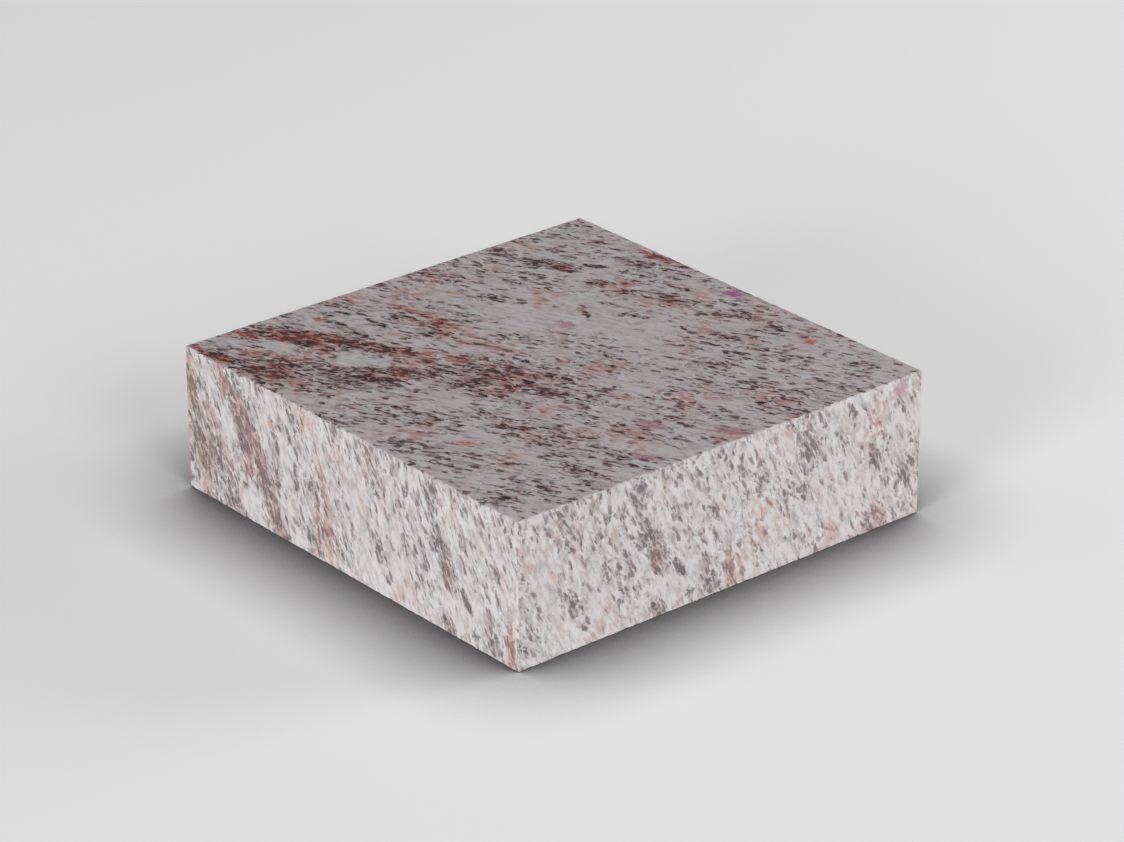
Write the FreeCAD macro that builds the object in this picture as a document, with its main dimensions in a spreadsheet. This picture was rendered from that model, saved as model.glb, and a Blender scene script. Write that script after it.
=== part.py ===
"""A sawn granite sett, a small square paving block of natural stone, 100 x 100 x 30 mm.

The real sett is one piece. A slab is sawn to thickness, cut into strips and cross-cut square, and
the sharp saw edges are then dulled by a narrow arris, so that they neither chip nor cut the hand.
Origin: the middle of the bed face, the underside that the sett lies on. +Z points up to the wear
face, and X and Y run square to the four joint faces. Sizes are in millimetres.
"""

import FreeCAD, Part
import os
import Sketcher

# The driving dimensions: name, millimetres, what it measures.
DRIVING_SIZES = (
    ("sett_length", 100.0, "joint face to joint face along X"),
    ("sett_width", 100.0, "joint face to joint face along Y"),
    ("sett_thickness", 30.0, "bed face to wear face, along Z"),
    ("arris_leg", 0.3, "how far the dulled edge takes each of its two faces back"),
)


def add_size_sheet(doc):
    """The spreadsheet that every sketch and feature takes its sizes from."""
    sheet = doc.addObject("Spreadsheet::Sheet", "Sizes")
    for row, (name, millimetres, meaning) in enumerate(DRIVING_SIZES, start=1):
        sheet.set(f"A{row}", name)
        sheet.set(f"B{row}", str(millimetres))
        sheet.setAlias(f"B{row}", name)
        sheet.set(f"C{row}", meaning)
    doc.recompute()
    return sheet


def origin_plane(body, role):
    """One of the body's own three origin planes, such as XY_Plane."""
    return next(f for f in body.Origin.OriginFeatures if f.Role == role)


def add_plan_sketch(body, sheet):
    """The sett's square plan on the bed plane: a rectangle held central on the origin."""
    plan = body.newObject("Sketcher::SketchObject", "PlanSketch")
    plan.AttachmentSupport = [(origin_plane(body, "XY_Plane"), "")]
    plan.MapMode = "FlatFace"

    half_length = float(sheet.sett_length) / 2
    half_width = float(sheet.sett_width) / 2
    corners = [
        FreeCAD.Vector(-half_length, -half_width, 0),
        FreeCAD.Vector(half_length, -half_width, 0),
        FreeCAD.Vector(half_length, half_width, 0),
        FreeCAD.Vector(-half_length, half_width, 0),
    ]
    front, right, back, left = (
        plan.addGeometry(Part.LineSegment(start, end), False)
        for start, end in zip(corners, corners[1:] + corners[:1])
    )

    for side, following in ((front, right), (right, back), (back, left), (left, front)):
        plan.addConstraint(Sketcher.Constraint("Coincident", side, 2, following, 1))
    for side in (front, back):
        plan.addConstraint(Sketcher.Constraint("Horizontal", side))
    for side in (right, left):
        plan.addConstraint(Sketcher.Constraint("Vertical", side))
    # The front-left and back-right corners mirror each other through the sketch's origin.
    plan.addConstraint(Sketcher.Constraint("Symmetric", front, 1, back, 1, -1, 1))

    sized_sides = ((front, "DistanceX", "sett_length"), (right, "DistanceY", "sett_width"))
    for side, kind, name in sized_sides:
        millimetres = float(getattr(sheet, name))
        index = plan.addConstraint(Sketcher.Constraint(kind, side, 1, side, 2, millimetres))
        plan.renameConstraint(index, name)
        plan.setExpression(f"Constraints.{name}", f"Sizes.{name}")
    return plan


def add_sett(doc, sheet):
    """The sett: its plan padded up to the wear face, then the arris taken off every edge."""
    body = doc.addObject("PartDesign::Body", "Sett")
    body.Label = "sett"

    plan = add_plan_sketch(body, sheet)
    block = body.newObject("PartDesign::Pad", "SawnBlock")
    block.Profile = plan
    block.setExpression("Length", "Sizes.sett_thickness")
    plan.Visibility = False
    doc.recompute()

    arris = body.newObject("PartDesign::Chamfer", "DulledArris")
    arris.Base = (block, [])
    arris.UseAllEdges = True
    arris.setExpression("Size", "Sizes.arris_leg")
    body.Tip = arris
    doc.recompute()
    return body


def check_document(doc, bodies):
    """Stops the build if a feature failed or a piece isn't one sound solid."""
    for feature in doc.Objects:
        if "Invalid" in feature.State or "Error" in feature.State:
            raise RuntimeError(f"{feature.Label} failed: {feature.State}")
    for body in bodies:
        shape = body.Shape
        if shape.isNull() or not shape.isValid() or len(shape.Solids) != 1:
            raise RuntimeError(f"{body.Label} is not one valid solid")
        box = shape.BoundBox
        print(
            f"{body.Label}: {box.XLength:.2f} x {box.YLength:.2f} x {box.ZLength:.2f} mm,"
            f" {shape.Volume / 1000:.2f} cm3, {len(shape.Faces)} faces"
        )


def main():
    doc = FreeCAD.newDocument("GraniteSett")
    sheet = add_size_sheet(doc)
    bodies = [add_sett(doc, sheet)]
    check_document(doc, bodies)
    os.makedirs("parts", exist_ok=True)
    for body in bodies:
        body.Shape.exportStep(f"parts/{body.Label}.step")


main()
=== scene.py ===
"""A sawn granite sett, a small square paving block, lying on its bed on a pale studio floor and
seen as in the reference photograph. Lengths are in metres, except in the stone's pattern, which
is in millimetres."""

import math

import bpy
import numpy as np
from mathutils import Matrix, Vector


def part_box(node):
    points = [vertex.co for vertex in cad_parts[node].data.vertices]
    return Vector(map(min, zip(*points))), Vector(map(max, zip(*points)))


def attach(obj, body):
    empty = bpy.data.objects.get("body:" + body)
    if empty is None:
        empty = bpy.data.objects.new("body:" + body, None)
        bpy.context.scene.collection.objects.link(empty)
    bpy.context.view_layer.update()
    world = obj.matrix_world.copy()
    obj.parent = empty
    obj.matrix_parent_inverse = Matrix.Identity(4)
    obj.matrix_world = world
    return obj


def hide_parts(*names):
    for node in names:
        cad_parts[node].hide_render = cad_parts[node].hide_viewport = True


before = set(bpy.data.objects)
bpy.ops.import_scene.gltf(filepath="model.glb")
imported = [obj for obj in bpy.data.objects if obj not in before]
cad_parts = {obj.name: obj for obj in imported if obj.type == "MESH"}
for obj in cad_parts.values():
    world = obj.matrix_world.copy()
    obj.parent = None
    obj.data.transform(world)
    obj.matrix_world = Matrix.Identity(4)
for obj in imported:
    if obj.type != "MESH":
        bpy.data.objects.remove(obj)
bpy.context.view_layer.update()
scene = bpy.context.scene
scene.view_settings.view_transform = "Standard"


# The camera, a long lens held above the sett's front left corner, so that the wear face and two of
# the joint faces show and the edges hardly converge. Its place and lens come from the photograph.
CAMERA_PLACE = Vector((-0.4742, -0.5625, 0.3618))
CAMERA_HEADING = math.radians(49.71)
CAMERA_DIP = math.radians(25.13)
CAMERA_LENS_MM = 135.4
SENSOR_MM = 36.0
NEAREST_SEEN = 0.01

sight = Vector((
    math.cos(CAMERA_DIP) * math.cos(CAMERA_HEADING),
    math.cos(CAMERA_DIP) * math.sin(CAMERA_HEADING),
    -math.sin(CAMERA_DIP),
))
camera = bpy.data.objects.new("camera", bpy.data.cameras.new("camera"))
camera.data.sensor_width = SENSOR_MM
camera.data.lens = CAMERA_LENS_MM
camera.data.clip_start = NEAREST_SEEN
camera.location = CAMERA_PLACE
camera.rotation_euler = sight.to_track_quat("-Z", "Y").to_euler()
scene.collection.objects.link(camera)
scene.camera = camera


# The sett, one block of granite. It is sawn from slab on all six faces, the wear face is then
# honed, and the sharp saw edges are dulled by hand with a rubbing stone, which leaves them a
# little uneven, because the stone breaks grain by grain.
MM = 0.001
low, high = (np.array(corner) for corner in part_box("sett"))
ARRIS_LEG = 0.24 * MM
ARRIS_WANDER = 0.10 * MM
GRAIN_SIZE = 0.7 * MM
CHIP_DEPTH = 0.45 * MM
CHIP_LENGTH = 2.2 * MM
CHIPS_ABOVE = 0.8

# The mesh's rows lie close together next to the edges, for the arris, and widen towards the middle
# of each face. Along the edges its steps are even, and shorter than a grain.
EDGE_STEPS = np.array((0.0, 0.07, 0.14, 0.22, 0.32, 0.46, 0.68, 1.0)) * MM
ALONG_STEP = 0.42 * MM
FLAT_FACE_START = 2.0 * MM
FLAT_FACE_ROWS = 7
JOINT_FACE_START = 1.8 * MM
JOINT_FACE_ROWS = 5
POLE_GAP = 1.0 * MM

# Large unlike numbers, which only scramble the corners of the noise's lattice.
LATTICE_WEIGHTS = np.array((127.1, 311.7, 74.7))
SINE_HEIGHT = 43758.5453


def lattice_noise(points, cell):
    """Smooth noise from 0 to 1 at many points: each corner of a cubic lattice has a fixed
    pseudo-random value, the fraction of a large sine, and the values of the eight corners round a
    point are mixed with weights that ease in and out."""
    place = points / cell
    corner = np.floor(place)
    share = place - corner
    share = share * share * (3 - 2 * share)
    total = np.zeros(len(points))
    for step in np.ndindex(2, 2, 2):
        at = corner + step
        value = np.sin(at @ LATTICE_WEIGHTS) * SINE_HEIGHT
        weight = np.prod(np.where(step, share, 1 - share), axis=1)
        total += weight * (value - np.floor(value))
    return total


def distances_from_an_edge(length):
    """Places along a side of that length, from 0 to length: close together within a millimetre of
    both ends, where the arris is, and evenly spread between."""
    first, last = EDGE_STEPS[-1], length - EDGE_STEPS[-1]
    middle = np.linspace(first, last, round((last - first) / ALONG_STEP) + 1)
    return np.concatenate((EDGE_STEPS[:-1], middle, length - EDGE_STEPS[-2::-1]))


def dull_edges(points):
    """The arris: where the insets of a point from two neighbouring faces add up to less than the
    arris leg there, it moves in by half the shortfall from both, onto the bevel. The leg wanders
    with the grain and, where a coarser noise is high, opens into a small chip."""
    leg = ARRIS_LEG + ARRIS_WANDER * (2 * lattice_noise(points, GRAIN_SIZE) - 1)
    chipped = (lattice_noise(points, CHIP_LENGTH) - CHIPS_ABOVE) / (1 - CHIPS_ABOVE)
    leg += CHIP_DEPTH * np.clip(chipped, 0, 1)
    centre, half = (low + high) / 2, (high - low) / 2
    inset = half - np.abs(points - centre)
    for first, second in ((0, 1), (1, 2), (2, 0)):
        shortfall = np.clip(leg - inset[:, first] - inset[:, second], 0, None)
        inset[:, first] += shortfall / 2
        inset[:, second] += shortfall / 2
    return centre + np.where(points < centre, -1, 1) * (half - inset)


def sett_surface():
    """The block's surface: a half section, from near the middle of the bed out, up the joint face
    and back to near the middle of the wear face, carried round the square plan. Each row of the
    grid is the plan's outline, scaled to the section's reach and set at its height. A fan of
    triangles closes the middle of the bed and of the wear face."""
    size = high - low
    along_x = distances_from_an_edge(size[0])[:-1] / size[0]
    along_y = distances_from_an_edge(size[1])[:-1] / size[1]
    outline = np.concatenate((
        np.stack((along_x, np.zeros_like(along_x)), 1),
        np.stack((np.ones_like(along_y), along_y), 1),
        np.stack((1 - along_x, np.ones_like(along_x)), 1),
        np.stack((np.zeros_like(along_y), 1 - along_y), 1),
    )) * 2 - 1

    half_width = size[0] / 2
    flat_steps = np.geomspace(FLAT_FACE_START, half_width - POLE_GAP, FLAT_FACE_ROWS)
    reach = 1 - np.concatenate((EDGE_STEPS, flat_steps)) / half_width
    joint_steps = np.geomspace(JOINT_FACE_START, size[2] / 2, JOINT_FACE_ROWS)
    lower_half = np.concatenate((EDGE_STEPS, joint_steps))
    up = np.concatenate((lower_half[1:], size[2] - lower_half[-2:0:-1]))
    section = np.concatenate((
        np.stack((reach[::-1], np.zeros_like(reach)), 1),
        np.stack((np.ones_like(up), up), 1),
        np.stack((reach, np.full_like(reach, size[2])), 1),
    ))

    rows, columns = len(section), len(outline)
    plan = section[:, None, :1] * outline[None] * size[:2] / 2
    height = np.broadcast_to(section[:, 1, None, None], (rows, columns, 1))
    bed_middle = np.array(((low[0] + high[0]) / 2, (low[1] + high[1]) / 2, low[2]))
    points = dull_edges(np.concatenate((plan, height), 2).reshape(-1, 3) + bed_middle)

    row, column = np.meshgrid(np.arange(rows - 1), np.arange(columns), indexing="ij")
    here = row * columns + column
    beside = row * columns + (column + 1) % columns
    quads = np.stack((here, beside, beside + columns, here + columns), -1).reshape(-1, 4)
    ring = np.arange(columns)
    bed_pole, wear_pole = len(points), len(points) + 1
    last = (rows - 1) * columns
    bed_fan = np.stack(((ring + 1) % columns, ring, np.full(columns, bed_pole)), 1)
    wear_fan = np.stack((ring + last, (ring + 1) % columns + last, np.full(columns, wear_pole)), 1)
    poles = np.array((bed_middle, bed_middle + (0, 0, size[2])))
    return np.concatenate((points, poles)), quads, np.concatenate((bed_fan, wear_fan))


points, quads, fans = sett_surface()
mesh = bpy.data.meshes.new("granite_block")
mesh.from_pydata(points, [], quads.tolist() + fans.tolist())
sett = bpy.data.objects.new("granite_block", mesh)
scene.collection.objects.link(sett)

# Where each face of the sett lies in the pattern of the stone, which is drawn as one flat slab in
# millimetres: the way the face looks, the turn that lays it flat, row by row, and how far it is
# then moved. The wear face is where it is, and the joint faces lie along its far edge. As in the
# photograph, the left one repeats part of the wear face and the front one lies further along,
# and the pattern runs on from there round the right and the back one. The bed lies apart.
FRONT_SHIFT = 47
BED_SHIFT = -150
side = round((high[0] - low[0]) / MM)
slab_top = round(high[2] / MM)
lift = side / 2 - slab_top
right_shift = FRONT_SHIFT + side
back_shift = right_shift + side
FACES = {
    "wear face": ((0, 0, 1), ((1, 0, 0), (0, 1, 0), (0, 0, 1)), (0, 0, 0)),
    "left joint face": ((-1, 0, 0), ((0, -1, 0), (0, 0, 1), (-1, 0, 0)), (0, lift, -lift)),
    "front joint face": ((0, -1, 0), ((1, 0, 0), (0, 0, 1), (0, -1, 0)), (FRONT_SHIFT, lift, -lift)),
    "right joint face": ((1, 0, 0), ((0, 1, 0), (0, 0, 1), (1, 0, 0)), (right_shift, lift, -lift)),
    "back joint face": ((0, 1, 0), ((-1, 0, 0), (0, 0, 1), (0, 1, 0)), (back_shift, lift, -lift)),
    "bed face": ((0, 0, -1), ((1, 0, 0), (0, -1, 0), (0, 0, -1)), (0, BED_SHIFT, slab_top)),
}
normals = np.zeros(len(mesh.polygons) * 3)
mesh.polygons.foreach_get("normal", normals)
corners_each = np.zeros(len(mesh.polygons), np.int32)
mesh.polygons.foreach_get("loop_total", corners_each)
corner_point = np.zeros(len(mesh.loops), np.int32)
mesh.loops.foreach_get("vertex_index", corner_point)

looks, turns, moves = (np.array(column, float) for column in zip(*FACES.values()))
face = np.argmax(normals.reshape(-1, 3) @ looks.T, axis=1)
corner_face = np.repeat(face, corners_each)
places = np.einsum("nij,nj->ni", turns[corner_face], points[corner_point] / MM) + moves[corner_face]
slab_place = mesh.attributes.new("slab_place", "FLOAT_VECTOR", "CORNER")
slab_place.data.foreach_set("vector", places.ravel())

# Only the wear face is honed, so it alone has the second of the two materials.
honed = face == list(FACES).index("wear face")
mesh.polygons.foreach_set("use_smooth", np.ones(len(face), bool))
mesh.polygons.foreach_set("material_index", honed.astype(np.int32))

# The grain of the stone, in millimetres. The mica flakes are about 0.8 mm wide and drawn out one
# way, up to 3 mm, so they show as short streaks that lean the same way, at a heading in degrees
# from the slab's X axis. The stretch is along and across them and into the stone. The flakes
# gather in chains about 4 mm apart, with specks of about 0.5 mm between them.
STREAK_HEADING = 115
STREAK_STRETCH = (2.3, 1.0, 0.95)
FLAKE = 0.80
SPECK = 0.55
SHADOW = 1.5
FELDSPAR_GRAIN = 1.1
FELDSPAR_TINT = 3.0
RUST_GRAIN = 1.1
RUST_PATCH = 9.0
CHAIN_SPACING = 4.2

# The real marks of the saw and the grit are under 0.1 mm, too fine to show, and so are drawn
# coarser.
TOOTH = 0.35

# How noise moves the outlines in the pattern: the size of its lumps and its reach, in millimetres.
STREAK_SWAY = (4.5, 2.4)
RAGGED_EDGE = (0.6, 1.0)
LENS_DRIFT = (4.0, 3.4)
SPOT_EDGE = (1.1, 2.6)

# The part of a noise over which each thing comes in. Noise lies mostly between 0.3 and 0.7.
CHAIN_RANGE = {"From Min": 0.33, "From Max": 0.70}
RUST_PATCH_RANGE = {"From Min": 0.53, "From Max": 0.68}
PINK_RANGE = {"From Min": 0.35, "From Max": 0.65}
QUARTZ_RANGE = {"From Min": 0.40, "From Max": 0.75}
STAIN_RANGE = {"From Min": 0.40, "From Max": 0.62}

# The same for shadows and for what the flakes cover, by the shade, which is noise and a share of
# the mica, and for rusty flakes, by the rust less a random number.
SHADOW_RANGE = {"From Min": 0.62, "From Max": 0.90}
COVER_RANGE = {"From Min": 0.45, "From Max": 0.78}
RUSTED_RANGE = {"From Min": 0.15, "From Max": 0.55}

# Shares of the stone that are mica, and amounts of rust in it: the least and the most between the
# lenses, and the most within them.
MICA_LEAST = 0.05
MICA_MOST = 0.54
MICA_LIMIT = 0.78
RUST_LEAST = 0.03
RUST_MOST = 0.60
RUST_LIMIT = 1.0

# The size of a grain as a share of its cell: a flake's radius where mica is scarce, what a solid
# mass of mica would add to it, a speck's radius, how unlike the radii are, a fringe's width, and
# how soft a speck's outline is. The onset is how gradually grains come in where mica increases.
FLAKE_RADIUS = 0.22
CROWDED_EXTRA = 0.20
SPECK_RADIUS = 0.26
RADIUS_SPREAD = 0.34
FRINGE_WIDTH = 0.34
SPECK_SOFTNESS = 0.18
GRAIN_ONSET = 0.08

# The share of the mica that adds to the shade, how strong the shadows and the fringes are, and the
# share of its cover that a thin flake keeps.
MICA_SHADE = 0.40
SHADOW_STRENGTH = 0.65
FRINGE_STRENGTH = 0.6
THIN_COVER = 0.25

# Light on the surface: the IOR of quartz and feldspar, the low specular level of an unpolished
# face, how much smoother mica is than feldspar, and how deep the grains are plucked, as a share of
# the relief.
GRANITE_IOR = 1.54
UNPOLISHED_SPECULAR = 0.35
MICA_SMOOTHNESS = 0.15
PLUCKED_SHARE = 0.6

# The colours of the minerals, those of rust on them, and that of the pale veil of stone dust and painted
# sheen.
FELDSPAR_GREY = "#D8D3D7"
FELDSPAR_PINK = "#D4C3C5"
QUARTZ = "#9E9693"
SHADOWED = "#746664"
PLUM_FRINGE = "#93596A"
BIOTITE = "#181A19"
BIOTITE_WORN = "#563039"
RUST_DEEP = "#40201B"
RUST_BRIGHT = "#94432E"
RUST_STAIN = "#C6816E"
STONE_DUST_AND_SHEEN = "#E4E6E6"

# Lenses of biotite and rust in the slab: what each is, its middle in millimetres, its heading,
# its half length and thickness, how much more of it is mica, and how much more rusty it is. Less
# mica leaves clean feldspar, and less rust leaves its flakes black. Every face lies at the top of
# the slab, and the lenses reach deep enough into it not to fade on the arris.
LENS_CORE = 0.25
LENS_DEPTH = 30
LENSES = (
    ("rust band, back end", (-34.5, 43.5), 132, (15, 4.6), 0.38, 0.74),
    ("rust band, middle", (-28.2, 34.8), 122, (13, 6.0), 0.48, 0.80),
    ("rust band, thin end", (-21.6, 22.8), 116, (13, 3.2), 0.42, 0.78),
    ("black heart of the rust band", (-26.0, 32.0), 110, (3.6, 2.6), 0.40, -0.45),
    ("dark flank of the rust band", (-32.0, 33.5), 125, (8, 4.2), 0.34, 0.10),
    ("rust band, front end", (-15.5, 13.5), 122, (9, 3.2), 0.24, 0.55),
    ("its dark tail", (-13, -3), 122, (27, 12), 0.28, 0.22),
    ("dark patch in the tail", (-10, -3), 128, (14, 9), 0.15, 0.14),
    ("rust at the left edge", (-50, 43), 100, (9, 4.5), 0.34, 0.86),
    ("cluster by the left edge", (-46.5, 37.8), 112, (4.5, 2.4), 0.34, 0.10),
    ("rusty band at the left edge", (-46, 31.5), 137, (9, 4), 0.34, 0.70),
    ("brown smudge at the left edge", (-44.5, 26.5), 132, (7, 3.6), 0.20, 0.14),
    ("grey smudge before it", (-38, 21), 132, (21, 11), 0.36, 0.12),
    ("speckled patch between the bands", (-41.5, 35), 120, (8, 5), 0.24, 0.40),
    ("pale feldspar between the bands", (-36.6, 38), 128, (5, 2.2), -0.60, -0.30),
    ("pale feldspar at the back", (-42.5, 45.8), 120, (6, 4), -0.20, 0.0),
    ("pale feldspar by the thin end", (-30.6, 24.4), 120, (6.6, 4.4), -0.56, 0.0),
    ("thin chain beside the band", (-21.2, 36), 95, (9, 1.6), 0.30, 0.0),
    ("short chain beside it", (-15.3, 35), 93, (5, 1.4), 0.34, 0.0),
    ("rust streak", (-6.8, 27), 92, (24, 6.4), 0.18, 0.62),
    ("rust at the back edge", (-12, 47), 100, (7, 4.5), 0.05, 0.45),
    ("black cluster by the rust streak", (-10.6, 24.6), 100, (5, 3), 0.26, -0.40),
    ("brown patch before the band", (-29, 14), 135, (11, 6), 0.22, 0.30),
    ("clean feldspar in the middle", (16, 13), 120, (36, 14), -0.17, -0.10),
    ("clean feldspar before it", (20, -13), 120, (14, 8), -0.16, 0.0),
    ("cluster at the back edge", (24.8, 47.8), 100, (5.5, 3.6), 0.26, 0.10),
    ("small cluster at the back edge", (18, 50), 10, (4.5, 2), 0.30, 0.0),
    ("slanting cluster", (16.9, 42.5), 60, (4, 1.9), 0.36, 0.0),
    ("dark chain, back end", (28.2, 37.0), 116, (7, 3.2), 0.40, 0.20),
    ("dark chain, rusty part", (30.3, 31.3), 107, (4.5, 2.2), 0.38, 0.68),
    ("curved streak", (23, 34.3), 120, (3.8, 1.2), 0.45, 0.0),
    ("streak to the knot", (9.3, 29), 113, (4.5, 1.1), 0.60, 0.20),
    ("cluster beside the chain", (26.3, 28), 70, (4, 2.2), 0.30, 0.0),
    ("black cluster by the chain", (35.2, 28.4), 115, (4, 2.0), 0.42, 0.0),
    ("dark chain, front part", (30, 21.8), 125, (5.5, 3.0), 0.34, 0.0),
    ("ring by the right edge", (42, 24.5), 105, (6, 2.8), 0.28, 0.30),
    ("plum streak at the right edge", (48.3, 25), 80, (6, 1.8), 0.30, 0.30),
    ("brown cluster in the chain", (35, 18), 105, (5, 2.8), 0.34, 0.50),
    ("front half of the chain", (38, 0), 108, (22, 4.5), 0.20, 0.26),
    ("knot at the front of the chain", (42, -17.5), 105, (7, 4), 0.28, 0.06),
    ("knot beside it", (34, -15), 135, (6, 3.5), 0.18, 0.0),
    ("ring in the clean feldspar", (26, 4), 107, (6, 3), 0.26, 0.0),
    ("rusty thread", (19, 13), 69, (7, 1.2), 0.55, 0.80),
    ("knot near the left edge", (-46, -11.5), 120, (7, 4), 0.26, 0.0),
    ("grey knot at the near corner", (-45.5, -40), 107, (5, 3), 0.28, 0.0),
    ("dark streaks at the front edge", (16.5, -40), 107, (9, 4), 0.12, 0.06),
    ("dark streaks near the corner", (-27, -42), 96, (9, 2.6), 0.22, 0.12),
    ("brown haze past the edge", (56, 31.5), 115, (9, 6.5), 0.14, 0.80),
    ("dark red patch past the edge", (49, 25.5), 110, (6, 4), 0.16, 0.60),
    ("dark streaks beyond the haze", (67.5, 43), 97, (8, 2.4), 0.26, 0.24),
    ("hooked streak", (76, 41), 97, (8, 2.8), 0.28, 0.0),
    ("black streak beside it", (78.6, 46.5), 112, (4, 1.5), 0.45, 0.0),
    ("red and black streak", (84.5, 43.5), 125, (6, 2.4), 0.32, 0.90),
    ("dark streak before it", (84.5, 36.5), 110, (5, 1.7), 0.32, 0.10),
    ("cluster near the far corner", (92.5, 30), 125, (6, 3.2), 0.28, 0.06),
    ("rust near the far corner", (86, 22.5), 105, (6, 3.4), 0.14, 0.80),
    ("rusty band on the right face", (124, 33), 120, (20, 5), 0.32, 0.70),
    ("dark chain on the right face", (168, 36), 112, (18, 4), 0.26, 0.12),
    ("rusty band on the back face", (222, 34), 118, (20, 5), 0.30, 0.60),
    ("rusty band on the bed face", (-10, -148), 125, (45, 7), 0.34, 0.65),
)

# Single crystals and stains that stand out: what each is, its middle, its half length and
# thickness, its colour and how strong that is. They lie along the streaks.
SPOT_CORE = 0.15
BIOTITE_KNOT = "#2A2023"
SPOTS = (
    ("knot at the end of a streak", (12.5, 23.9), (1.4, 1.1), BIOTITE_KNOT, 0.9),
    ("knot by the right edge", (38, 22.6), (1.4, 1.0), BIOTITE_KNOT, 0.85),
    ("knot in the black cluster", (35.4, 28.3), (1.7, 0.8), BIOTITE_KNOT, 0.8),
    ("knot in the slanting cluster", (17.7, 43.5), (1.2, 0.8), BIOTITE_KNOT, 0.7),
    ("knot near the left corner", (-45.4, 43.6), (2.0, 1.0), BIOTITE_KNOT, 0.85),
    ("knot in the pale feldspar", (-31.4, 27.2), (1.2, 1.0), BIOTITE_KNOT, 0.9),
    ("black heart of the rust band", (-25.6, 32.3), (1.9, 1.2), BIOTITE_KNOT, 0.7),
    ("knot in the chain", (28.8, 36.9), (1.4, 1.0), BIOTITE_KNOT, 0.7),
    ("knot before the clean feldspar", (28.5, -8.6), (1.6, 1.1), BIOTITE_KNOT, 0.8),
    ("knot at the front of the chain", (41.8, -16.4), (1.8, 0.9), BIOTITE_KNOT, 0.7),
    ("knot near the left edge", (-46.1, -11.3), (2.0, 1.2), BIOTITE_KNOT, 0.85),
    ("knot near the front", (9.1, -38.6), (1.6, 1.0), BIOTITE_KNOT, 0.8),
    ("knot near the far corner", (94.6, 32), (2.2, 1.0), BIOTITE_KNOT, 0.85),
    ("garnet at the right edge", (47.2, 0.3), (3.2, 2.4), "#AC5F93", 0.9),
    ("garnet in the clean feldspar", (12.3, 10), (3.0, 2.3), "#BC7FA0", 0.75),
    ("garnet streak near the front", (-5.5, -35), (5.0, 2.6), "#B06E84", 0.6),
    ("garnet streak at the front edge", (4.2, -46.6), (5.4, 2.6), "#B0627C", 0.65),
    ("garnet streak beside it", (-15.2, -44.5), (4.8, 2.2), "#AE6C80", 0.55),
    ("garnet in the front face", (91.4, 47.8), (3.0, 2.6), "#AA6080", 0.75),
    ("bright iron stain", (42.8, -26.4), (2.4, 2.0), "#CC5436", 0.85),
    ("iron stain at the back", (5.4, 36.4), (2.4, 1.4), "#D09A72", 0.65),
    ("iron stain in the tail", (-0.9, -22.5), (2.6, 1.5), "#CC8666", 0.7),
    ("iron stain near the left edge", (-36.2, -19), (2.6, 1.6), "#C9785C", 0.65),
    ("iron stain beside the band", (-23.1, 42.8), (1.7, 1.2), "#CF7146", 0.9),
    ("iron stain in the left corner", (-40.8, 38.6), (2.4, 1.4), "#D08868", 0.75),
    ("iron stain at the left corner", (-48.7, 47.2), (2.2, 1.6), "#B8583C", 0.8),
    ("iron stain in the rust streak", (-5.4, 23.4), (3.0, 1.8), "#C88672", 0.60),
    ("iron stain at the thin end", (-16.6, 16.6), (2.6, 1.6), "#B8603C", 0.8),
)


def linear(code):
    """A linear RGBA colour from an sRGB hex code such as #8A2F22, by the curve of sRGB."""
    channels = [int(code[at:at + 2], 16) / 255 for at in (1, 3, 5)]
    return [c / 12.92 if c <= 0.04045 else ((c + 0.055) / 1.055) ** 2.4 for c in channels] + [1.0]


def add_node(tree, kind, inputs, **settings):
    """Adds a node of that kind. settings are its properties. inputs gives its sockets by name or
    number: a value is set on the socket, and another node or one of its outputs is linked to it."""
    node = tree.nodes.new(kind)
    for name, value in settings.items():
        setattr(node, name, value)
    for key, value in inputs.items():
        named = (s for s in node.inputs if s.enabled and s.name == key)
        socket = next(named) if isinstance(key, str) else node.inputs[key]
        if isinstance(value, bpy.types.Node):
            value = next(s for s in value.outputs if s.enabled)
        if isinstance(value, bpy.types.NodeSocket):
            tree.links.new(value, socket)
        else:
            socket.default_value = value
    return node


def moved_by_noise(tree, place, grain, reach):
    """A place moved along each axis by up to half of reach either way, by smooth noise whose lumps
    are as large as grain and whose colour is mid grey on average."""
    noise = add_node(tree, "ShaderNodeTexNoise", {"Vector": place, "Scale": 1 / grain, "Detail": 2.0})
    mid_grey = (0.5, 0.5, 0.5)
    centred = add_node(tree, "ShaderNodeVectorMath", {
        0: noise.outputs["Color"], 1: mid_grey}, operation="SUBTRACT")
    scaled = add_node(tree, "ShaderNodeVectorMath", {0: centred, "Scale": reach}, operation="SCALE")
    return add_node(tree, "ShaderNodeVectorMath", {0: place, 1: scaled}, operation="ADD")


def inside_lens(tree, place, middle, heading, half, core):
    """How far a place lies inside an ellipse on the slab: 0 from its outline out, rising smoothly
    to 1 at the share core of its size. In the ellipse's own unit space, the spherical gradient is
    1 less the length of the place."""
    unit = add_node(tree, "ShaderNodeMapping", {
        "Vector": place, "Location": (*middle, slab_top), "Rotation": (0, 0, math.radians(heading)),
        "Scale": (*half, LENS_DEPTH)}, vector_type="TEXTURE")
    depth = add_node(tree, "ShaderNodeTexGradient", {"Vector": unit}, gradient_type="SPHERICAL")
    return add_node(tree, "ShaderNodeMapRange", {
        "Value": depth.outputs["Fac"], "From Max": 1 - core}, interpolation_type="SMOOTHERSTEP")


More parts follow.
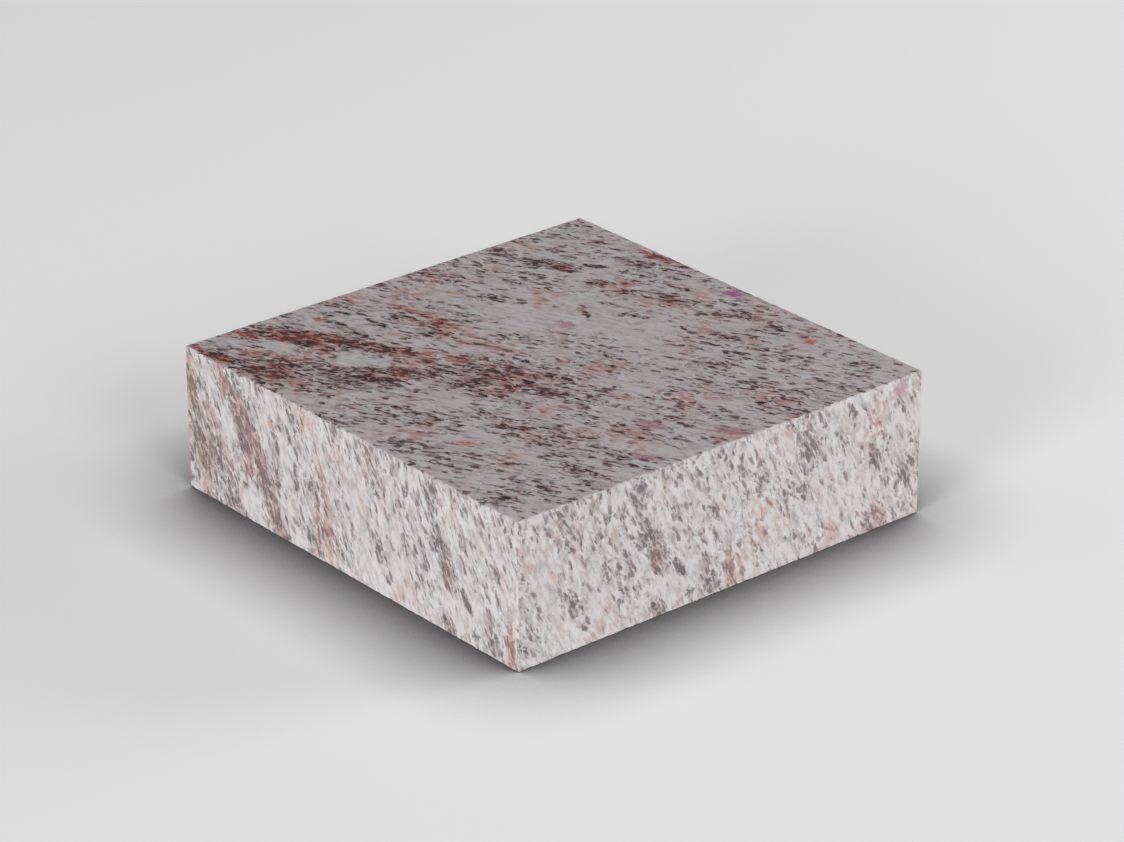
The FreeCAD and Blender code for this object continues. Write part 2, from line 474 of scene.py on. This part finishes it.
def grains(tree, place, size, share, radius, softness):
    """Separate grains: the space is split into cells round random points, and a cell holds a grain
    where its random number is under share. Around its point the grain reaches as far as radius and
    a random part of RADIUS_SPREAD. Gives how much of the place a grain fills, from 0 to 1, the
    same for a wider fringe round it, and the cell's three random numbers."""
    cells = add_node(tree, "ShaderNodeTexVoronoi", {"Vector": place, "Scale": 1 / size})
    chances = add_node(tree, "ShaderNodeSeparateColor", {"Color": cells.outputs["Color"]})
    margin = add_node(tree, "ShaderNodeMath", {0: share, 1: chances.outputs["Red"]}, operation="SUBTRACT")
    present = add_node(tree, "ShaderNodeMapRange", {
        "Value": margin, "From Max": GRAIN_ONSET}, interpolation_type="SMOOTHSTEP")
    grown = add_node(tree, "ShaderNodeMath", {
        0: chances.outputs["Green"], 1: RADIUS_SPREAD, 2: radius}, operation="MULTIPLY_ADD")
    edge = add_node(tree, "ShaderNodeMath", {0: grown, 1: cells.outputs["Distance"]}, operation="SUBTRACT")
    body = add_node(tree, "ShaderNodeMapRange", {
        "Value": edge, "From Min": -softness, "From Max": softness}, interpolation_type="SMOOTHSTEP")
    rim = add_node(tree, "ShaderNodeMapRange", {
        "Value": edge, "From Min": -FRINGE_WIDTH, "From Max": 0.0}, interpolation_type="SMOOTHSTEP")
    grain = add_node(tree, "ShaderNodeMath", {0: body, 1: present}, operation="MULTIPLY")
    fringe = add_node(tree, "ShaderNodeMath", {0: rim, 1: present}, operation="MULTIPLY")
    return grain, fringe, chances


def mica_and_rust(tree, wavy, adrift):
    """How much of the stone is mica from place to place, and how rusty it is: a little everywhere,
    more in chains and patches, and the lenses on top of that."""
    chains = add_node(tree, "ShaderNodeTexNoise", {
        "Vector": wavy, "Scale": 1 / CHAIN_SPACING, "Detail": 3.0, "Roughness": 0.6})
    mica = add_node(tree, "ShaderNodeMapRange", {
        "Value": chains, **CHAIN_RANGE, "To Min": MICA_LEAST, "To Max": MICA_MOST})
    patches = add_node(tree, "ShaderNodeTexNoise", {
        "Vector": adrift, "Scale": 1 / RUST_PATCH, "Detail": 2.0})
    rust = add_node(tree, "ShaderNodeMapRange", {
        "Value": patches, **RUST_PATCH_RANGE, "To Min": RUST_LEAST, "To Max": RUST_MOST})
    for label, middle, heading, half, more_mica, more_rust in LENSES:
        fade = inside_lens(tree, adrift, middle, heading, half, LENS_CORE)
        fade.label = label
        mica = add_node(tree, "ShaderNodeMath", {
            0: fade, 1: more_mica, 2: mica}, operation="MULTIPLY_ADD")
        if more_rust:
            rust = add_node(tree, "ShaderNodeMath", {
                0: fade, 1: more_rust, 2: rust}, operation="MULTIPLY_ADD")
    mica = add_node(tree, "ShaderNodeMath", {0: mica, 1: MICA_LIMIT}, operation="MINIMUM")
    rust = add_node(tree, "ShaderNodeMath", {0: rust, 1: RUST_LIMIT}, operation="MINIMUM")
    return mica, rust


def feldspar_and_quartz(tree, wavy, ragged, quartz_shown):
    """Feldspar, grey or pinkish from place to place, with smoky quartz between its grains."""
    tints = add_node(tree, "ShaderNodeTexNoise", {
        "Vector": wavy, "Scale": 1 / FELDSPAR_TINT, "Detail": 4.0, "Roughness": 0.65})
    tint = add_node(tree, "ShaderNodeMapRange", {"Value": tints, **PINK_RANGE})
    feldspar = add_node(tree, "ShaderNodeMix", {
        "Factor": tint, "A": linear(FELDSPAR_GREY), "B": linear(FELDSPAR_PINK)}, data_type="RGBA")
    clouds = add_node(tree, "ShaderNodeTexNoise", {
        "Vector": ragged, "Scale": 1 / FELDSPAR_GRAIN, "Detail": 3.0, "Roughness": 0.6})
    smoky = add_node(tree, "ShaderNodeMapRange", {
        "Value": clouds, **QUARTZ_RANGE, "To Max": quartz_shown}, interpolation_type="SMOOTHSTEP")
    return add_node(tree, "ShaderNodeMix", {
        "Factor": smoky, "A": feldspar, "B": linear(QUARTZ)}, data_type="RGBA")


def shaded_and_stained(tree, ground, shade, rust, ragged):
    """The ground with soft shadows, where flakes lie just under its surface, and with stains here
    and there where there is rust."""
    shadow = add_node(tree, "ShaderNodeMapRange", {
        "Value": shade, **SHADOW_RANGE, "To Max": SHADOW_STRENGTH}, interpolation_type="SMOOTHSTEP")
    shaded = add_node(tree, "ShaderNodeMix", {
        "Factor": shadow, "A": ground, "B": linear(SHADOWED)}, data_type="RGBA")
    clouds = add_node(tree, "ShaderNodeTexNoise", {
        "Vector": ragged, "Scale": 1 / RUST_GRAIN, "Detail": 2.0})
    cloud = add_node(tree, "ShaderNodeMapRange", {
        "Value": clouds, **STAIN_RANGE}, interpolation_type="SMOOTHSTEP")
    stain = add_node(tree, "ShaderNodeMath", {0: cloud, 1: rust}, operation="MULTIPLY")
    return add_node(tree, "ShaderNodeMix", {
        "Factor": stain, "A": shaded, "B": linear(RUST_STAIN)}, data_type="RGBA")


def mica_colour(tree, rust, flake_chances, speck_chances):
    """The flakes' own colour: black to worn crimson brown, and rusty where there is rust. Which,
    and how deep it is, goes by the random numbers of the flake's cell and the speck's."""
    fresh = add_node(tree, "ShaderNodeMix", {
        "Factor": speck_chances.outputs["Blue"], "A": linear(BIOTITE), "B": linear(BIOTITE_WORN)},
        data_type="RGBA")
    rusty = add_node(tree, "ShaderNodeMix", {
        "Factor": speck_chances.outputs["Green"], "A": linear(RUST_DEEP), "B": linear(RUST_BRIGHT)},
        data_type="RGBA")
    margin = add_node(tree, "ShaderNodeMath", {
        0: rust, 1: flake_chances.outputs["Blue"]}, operation="SUBTRACT")
    rusted = add_node(tree, "ShaderNodeMapRange", {
        "Value": margin, **RUSTED_RANGE}, interpolation_type="SMOOTHSTEP")
    return add_node(tree, "ShaderNodeMix", {"Factor": rusted, "A": fresh, "B": rusty}, data_type="RGBA")


def granite(name, dust_and_sheen, depth_of_colour, cover, quartz_shown, softness, roughness, relief):
    """Granite: pale feldspar and quartz, streaked with biotite, and rust that has bled from the
    mica along a few bands. Its finish is given by the share of a pale veil over the colour, which
    is stone dust and painted sheen, how much of the colour's saturation is left, how fully mica
    covers the feldspar, how much of the quartz shows, how soft the flakes' outlines are, as a share
    of a cell, how rough the feldspar is, and how far the grains stand out, in millimetres."""
    material = bpy.data.materials.new(name)
    material.use_nodes = True
    tree = material.node_tree
    tree.nodes.clear()

    # The place on the slab in millimetres, and again along and across the streaks, with their
    # stretch taken out of it. Noise makes the streaks wander and the outlines ragged.
    place = add_node(tree, "ShaderNodeAttribute", {}, attribute_name="slab_place").outputs["Vector"]
    streaks = add_node(tree, "ShaderNodeMapping", {
        "Vector": place, "Rotation": (0, 0, math.radians(STREAK_HEADING)), "Scale": STREAK_STRETCH},
        vector_type="TEXTURE")
    wavy = moved_by_noise(tree, streaks, *STREAK_SWAY)
    ragged = moved_by_noise(tree, wavy, *RAGGED_EDGE)
    adrift = moved_by_noise(tree, place, *LENS_DRIFT)
    nudged = moved_by_noise(tree, place, *SPOT_EDGE)

    # Biotite: large flakes, wider where they crowd together, and fine specks between them.
    mica, rust = mica_and_rust(tree, wavy, adrift)
    widening = add_node(tree, "ShaderNodeMath", {
        0: mica, 1: CROWDED_EXTRA, 2: FLAKE_RADIUS}, operation="MULTIPLY_ADD")
    flake, fringe, flake_chances = grains(tree, ragged, FLAKE, mica, widening, softness)
    speck, _, speck_chances = grains(tree, ragged, SPECK, mica, SPECK_RADIUS, SPECK_SOFTNESS)

    # The ground under them, shaded by mica. Each flake has a plum fringe on it, or a rusty one.
    shades = add_node(tree, "ShaderNodeTexNoise", {
        "Vector": ragged, "Scale": 1 / SHADOW, "Detail": 3.0, "Roughness": 0.6})
    shade = add_node(tree, "ShaderNodeMath", {0: mica, 1: MICA_SHADE, 2: shades}, operation="MULTIPLY_ADD")
    clean = feldspar_and_quartz(tree, wavy, ragged, quartz_shown)
    ground = shaded_and_stained(tree, clean, shade, rust, ragged)
    fringe_colour = add_node(tree, "ShaderNodeMix", {
        "Factor": rust, "A": linear(PLUM_FRINGE), "B": linear(RUST_BRIGHT)}, data_type="RGBA")
    fringe_share = add_node(tree, "ShaderNodeMath", {0: fringe, 1: FRINGE_STRENGTH}, operation="MULTIPLY")
    fringed = add_node(tree, "ShaderNodeMix", {
        "Factor": fringe_share, "A": ground, "B": fringe_colour}, data_type="RGBA")

    # Specks and flakes cover the ground well where it is shaded, and thinly elsewhere.
    mica_tone = mica_colour(tree, rust, flake_chances, speck_chances)
    covering = add_node(tree, "ShaderNodeMapRange", {
        "Value": shade, **COVER_RANGE, "To Min": THIN_COVER * cover, "To Max": cover},
        interpolation_type="SMOOTHSTEP")
    speck_share = add_node(tree, "ShaderNodeMath", {0: speck, 1: covering}, operation="MULTIPLY")
    specked = add_node(tree, "ShaderNodeMix", {
        "Factor": speck_share, "A": fringed, "B": mica_tone}, data_type="RGBA")
    flake_share = add_node(tree, "ShaderNodeMath", {0: flake, 1: covering}, operation="MULTIPLY")
    colour = add_node(tree, "ShaderNodeMix", {
        "Factor": flake_share, "A": specked, "B": mica_tone}, data_type="RGBA")

    # The single crystals and stains, then what the finish does to the colour: less saturation, and a pale
    # veil that is partly stone dust and partly painted sheen.
    for label, middle, half, code, strength in SPOTS:
        fade = inside_lens(tree, nudged, middle, STREAK_HEADING, half, SPOT_CORE)
        fade.label = label
        share = add_node(tree, "ShaderNodeMath", {0: fade, 1: strength}, operation="MULTIPLY")
        colour = add_node(tree, "ShaderNodeMix", {
            "Factor": share, "A": colour, "B": linear(code)}, data_type="RGBA")
    faded = add_node(tree, "ShaderNodeHueSaturation", {"Saturation": depth_of_colour, "Color": colour})
    veiled_by_dust_and_sheen = add_node(tree, "ShaderNodeMix", {
        "Factor": dust_and_sheen, "A": faded, "B": linear(STONE_DUST_AND_SHEEN)}, data_type="RGBA")

    # Mica is smoother than the feldspar round it. The grains are plucked a little in their
    # middles, over the fine tooth of the finish.
    gloss = add_node(tree, "ShaderNodeMapRange", {
        "Value": flake, "To Min": roughness, "To Max": roughness - MICA_SMOOTHNESS})
    tooth = add_node(tree, "ShaderNodeTexNoise", {
        "Vector": place, "Scale": 1 / TOOTH, "Detail": 3.0, "Roughness": 0.6})
    pits = add_node(tree, "ShaderNodeTexVoronoi", {"Vector": ragged, "Scale": 1 / FLAKE})
    height = add_node(tree, "ShaderNodeMath", {
        0: pits, 1: PLUCKED_SHARE, 2: tooth}, operation="MULTIPLY_ADD")
    bump = add_node(tree, "ShaderNodeBump", {"Height": height, "Distance": relief * MM})
    shader = add_node(tree, "ShaderNodeBsdfPrincipled", {
        "Base Color": veiled_by_dust_and_sheen, "Roughness": gloss, "IOR": GRANITE_IOR,
        "Specular IOR Level": UNPOLISHED_SPECULAR, "Normal": bump})
    add_node(tree, "ShaderNodeOutputMaterial", {"Surface": shader})
    return material


# Two finishes of the same granite. The diamond saw leaves the joint faces and the bed matt and
# pale: scratches and stone dust scatter the light, so the flakes look bruised, the colours weak and
# the quartz more smoky. Part of that pale veil and weak colour is painted sheen, a reflection
# painted into their colour. Honing with fine grit takes the saw's finish off the wear face, so its
# colours are deep and it has a dull gloss.
mesh.materials.append(granite(
    "granite_sawn_painted_sheen", dust_and_sheen=0.13, depth_of_colour=0.70, cover=0.82, quartz_shown=0.85,
    softness=0.18, roughness=0.78, relief=0.10))
mesh.materials.append(granite(
    "granite_honed", dust_and_sheen=0.0, depth_of_colour=1.0, cover=1.0, quartz_shown=0.55,
    softness=0.10, roughness=0.56, relief=0.02))
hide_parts("sett")
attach(sett, "root")


# The floor, a wide matt sheet of pale paper under the sett, which isn't part of the object. Part
# of its paleness shows only to the camera and in reflections, so it adds no light to the stone.
# The same goes for the shade at the foot of the sett, where the block hides half of the room.
FLOOR_HALF = 3.0
FLOOR_COLOUR = "#EFEFEF"
FLOOR_GLOW = 0.20
FOOT_SHADE = "#626264"
FOOT_SHADE_REACH = 0.027
OPEN_AT_THE_FOOT = 0.5
floor_corners = [
    (-FLOOR_HALF, -FLOOR_HALF, 0), (FLOOR_HALF, -FLOOR_HALF, 0),
    (FLOOR_HALF, FLOOR_HALF, 0), (-FLOOR_HALF, FLOOR_HALF, 0),
]
floor_mesh = bpy.data.meshes.new("floor")
floor_mesh.from_pydata(floor_corners, [], [(0, 1, 2, 3)])
floor = bpy.data.objects.new("floor", floor_mesh)
scene.collection.objects.link(floor)

paper = bpy.data.materials.new("matt_paper")
paper.use_nodes = True
sheet = paper.node_tree
sheet.nodes.clear()
rays = add_node(sheet, "ShaderNodeLightPath", {})
seen = add_node(sheet, "ShaderNodeMath", {
    0: rays.outputs["Is Camera Ray"], 1: rays.outputs["Is Glossy Ray"]}, operation="MAXIMUM")
shown = add_node(sheet, "ShaderNodeMath", {
    0: seen, 1: rays.outputs["Is Transmission Ray"]}, operation="MAXIMUM")
hemisphere = add_node(sheet, "ShaderNodeAmbientOcclusion", {"Distance": FOOT_SHADE_REACH})
openness = add_node(sheet, "ShaderNodeMapRange", {
    "Value": hemisphere.outputs["AO"], "From Min": OPEN_AT_THE_FOOT})
unseen = add_node(sheet, "ShaderNodeMath", {0: 1.0, 1: shown}, operation="SUBTRACT")
unshaded = add_node(sheet, "ShaderNodeMath", {0: openness, 1: unseen}, operation="MAXIMUM")
shaded = add_node(sheet, "ShaderNodeMix", {
    "Factor": unshaded, "A": linear(FOOT_SHADE), "B": linear(FLOOR_COLOUR)}, data_type="RGBA")
matt = add_node(sheet, "ShaderNodeBsdfDiffuse", {"Color": shaded})
bright = add_node(sheet, "ShaderNodeMath", {0: shown, 1: openness}, operation="MULTIPLY")
brightness = add_node(sheet, "ShaderNodeMath", {0: bright, 1: FLOOR_GLOW}, operation="MULTIPLY")
glow = add_node(sheet, "ShaderNodeEmission", {"Strength": brightness})
both = add_node(sheet, "ShaderNodeAddShader", {0: matt, 1: glow})
add_node(sheet, "ShaderNodeOutputMaterial", {"Surface": both})
floor_mesh.materials.append(paper)


# The studio light: a dim even surround and four round soft boxes, turned to face the sett. The low
# ones at its sides light the joint faces more than the wear face, and cast soft shades to either
# side.
SURROUND = 0.21
WHITE = (1, 1, 1, 1)
AIM = Vector((0, 0, 0.015))

# A box's bearing, to the right of the front, and its height above the floor, in degrees, then its
# distance and width in metres, and its power in watts.
SOFT_BOXES = {
    "soft_box_left": (-75, 12, 2.2, 1.0, 29.5),
    "soft_box_front": (-10, 25, 2.2, 1.0, 11.4),
    "soft_box_right": (65, 12, 1.0, 0.6, 6.4),
    "soft_box_back": (-140, 30, 2.2, 1.0, 4.6),
}
world = bpy.data.worlds.new("studio")
world.use_nodes = True
world.node_tree.nodes["Background"].inputs["Color"].default_value = WHITE
world.node_tree.nodes["Background"].inputs["Strength"].default_value = SURROUND
scene.world = world

for name, (bearing, elevation, distance, width, watts) in SOFT_BOXES.items():
    lamp = bpy.data.objects.new(name, bpy.data.lights.new(name, "AREA"))
    lamp.data.shape = "DISK"
    lamp.data.size = width
    lamp.data.energy = watts
    turn, tilt = math.radians(bearing), math.radians(elevation)
    away = Vector((math.cos(tilt) * math.sin(turn), -math.cos(tilt) * math.cos(turn), math.sin(tilt)))
    lamp.location = AIM + away * distance
    lamp.rotation_euler = (-away).to_track_quat("-Z", "Y").to_euler()
    scene.collection.objects.link(lamp)
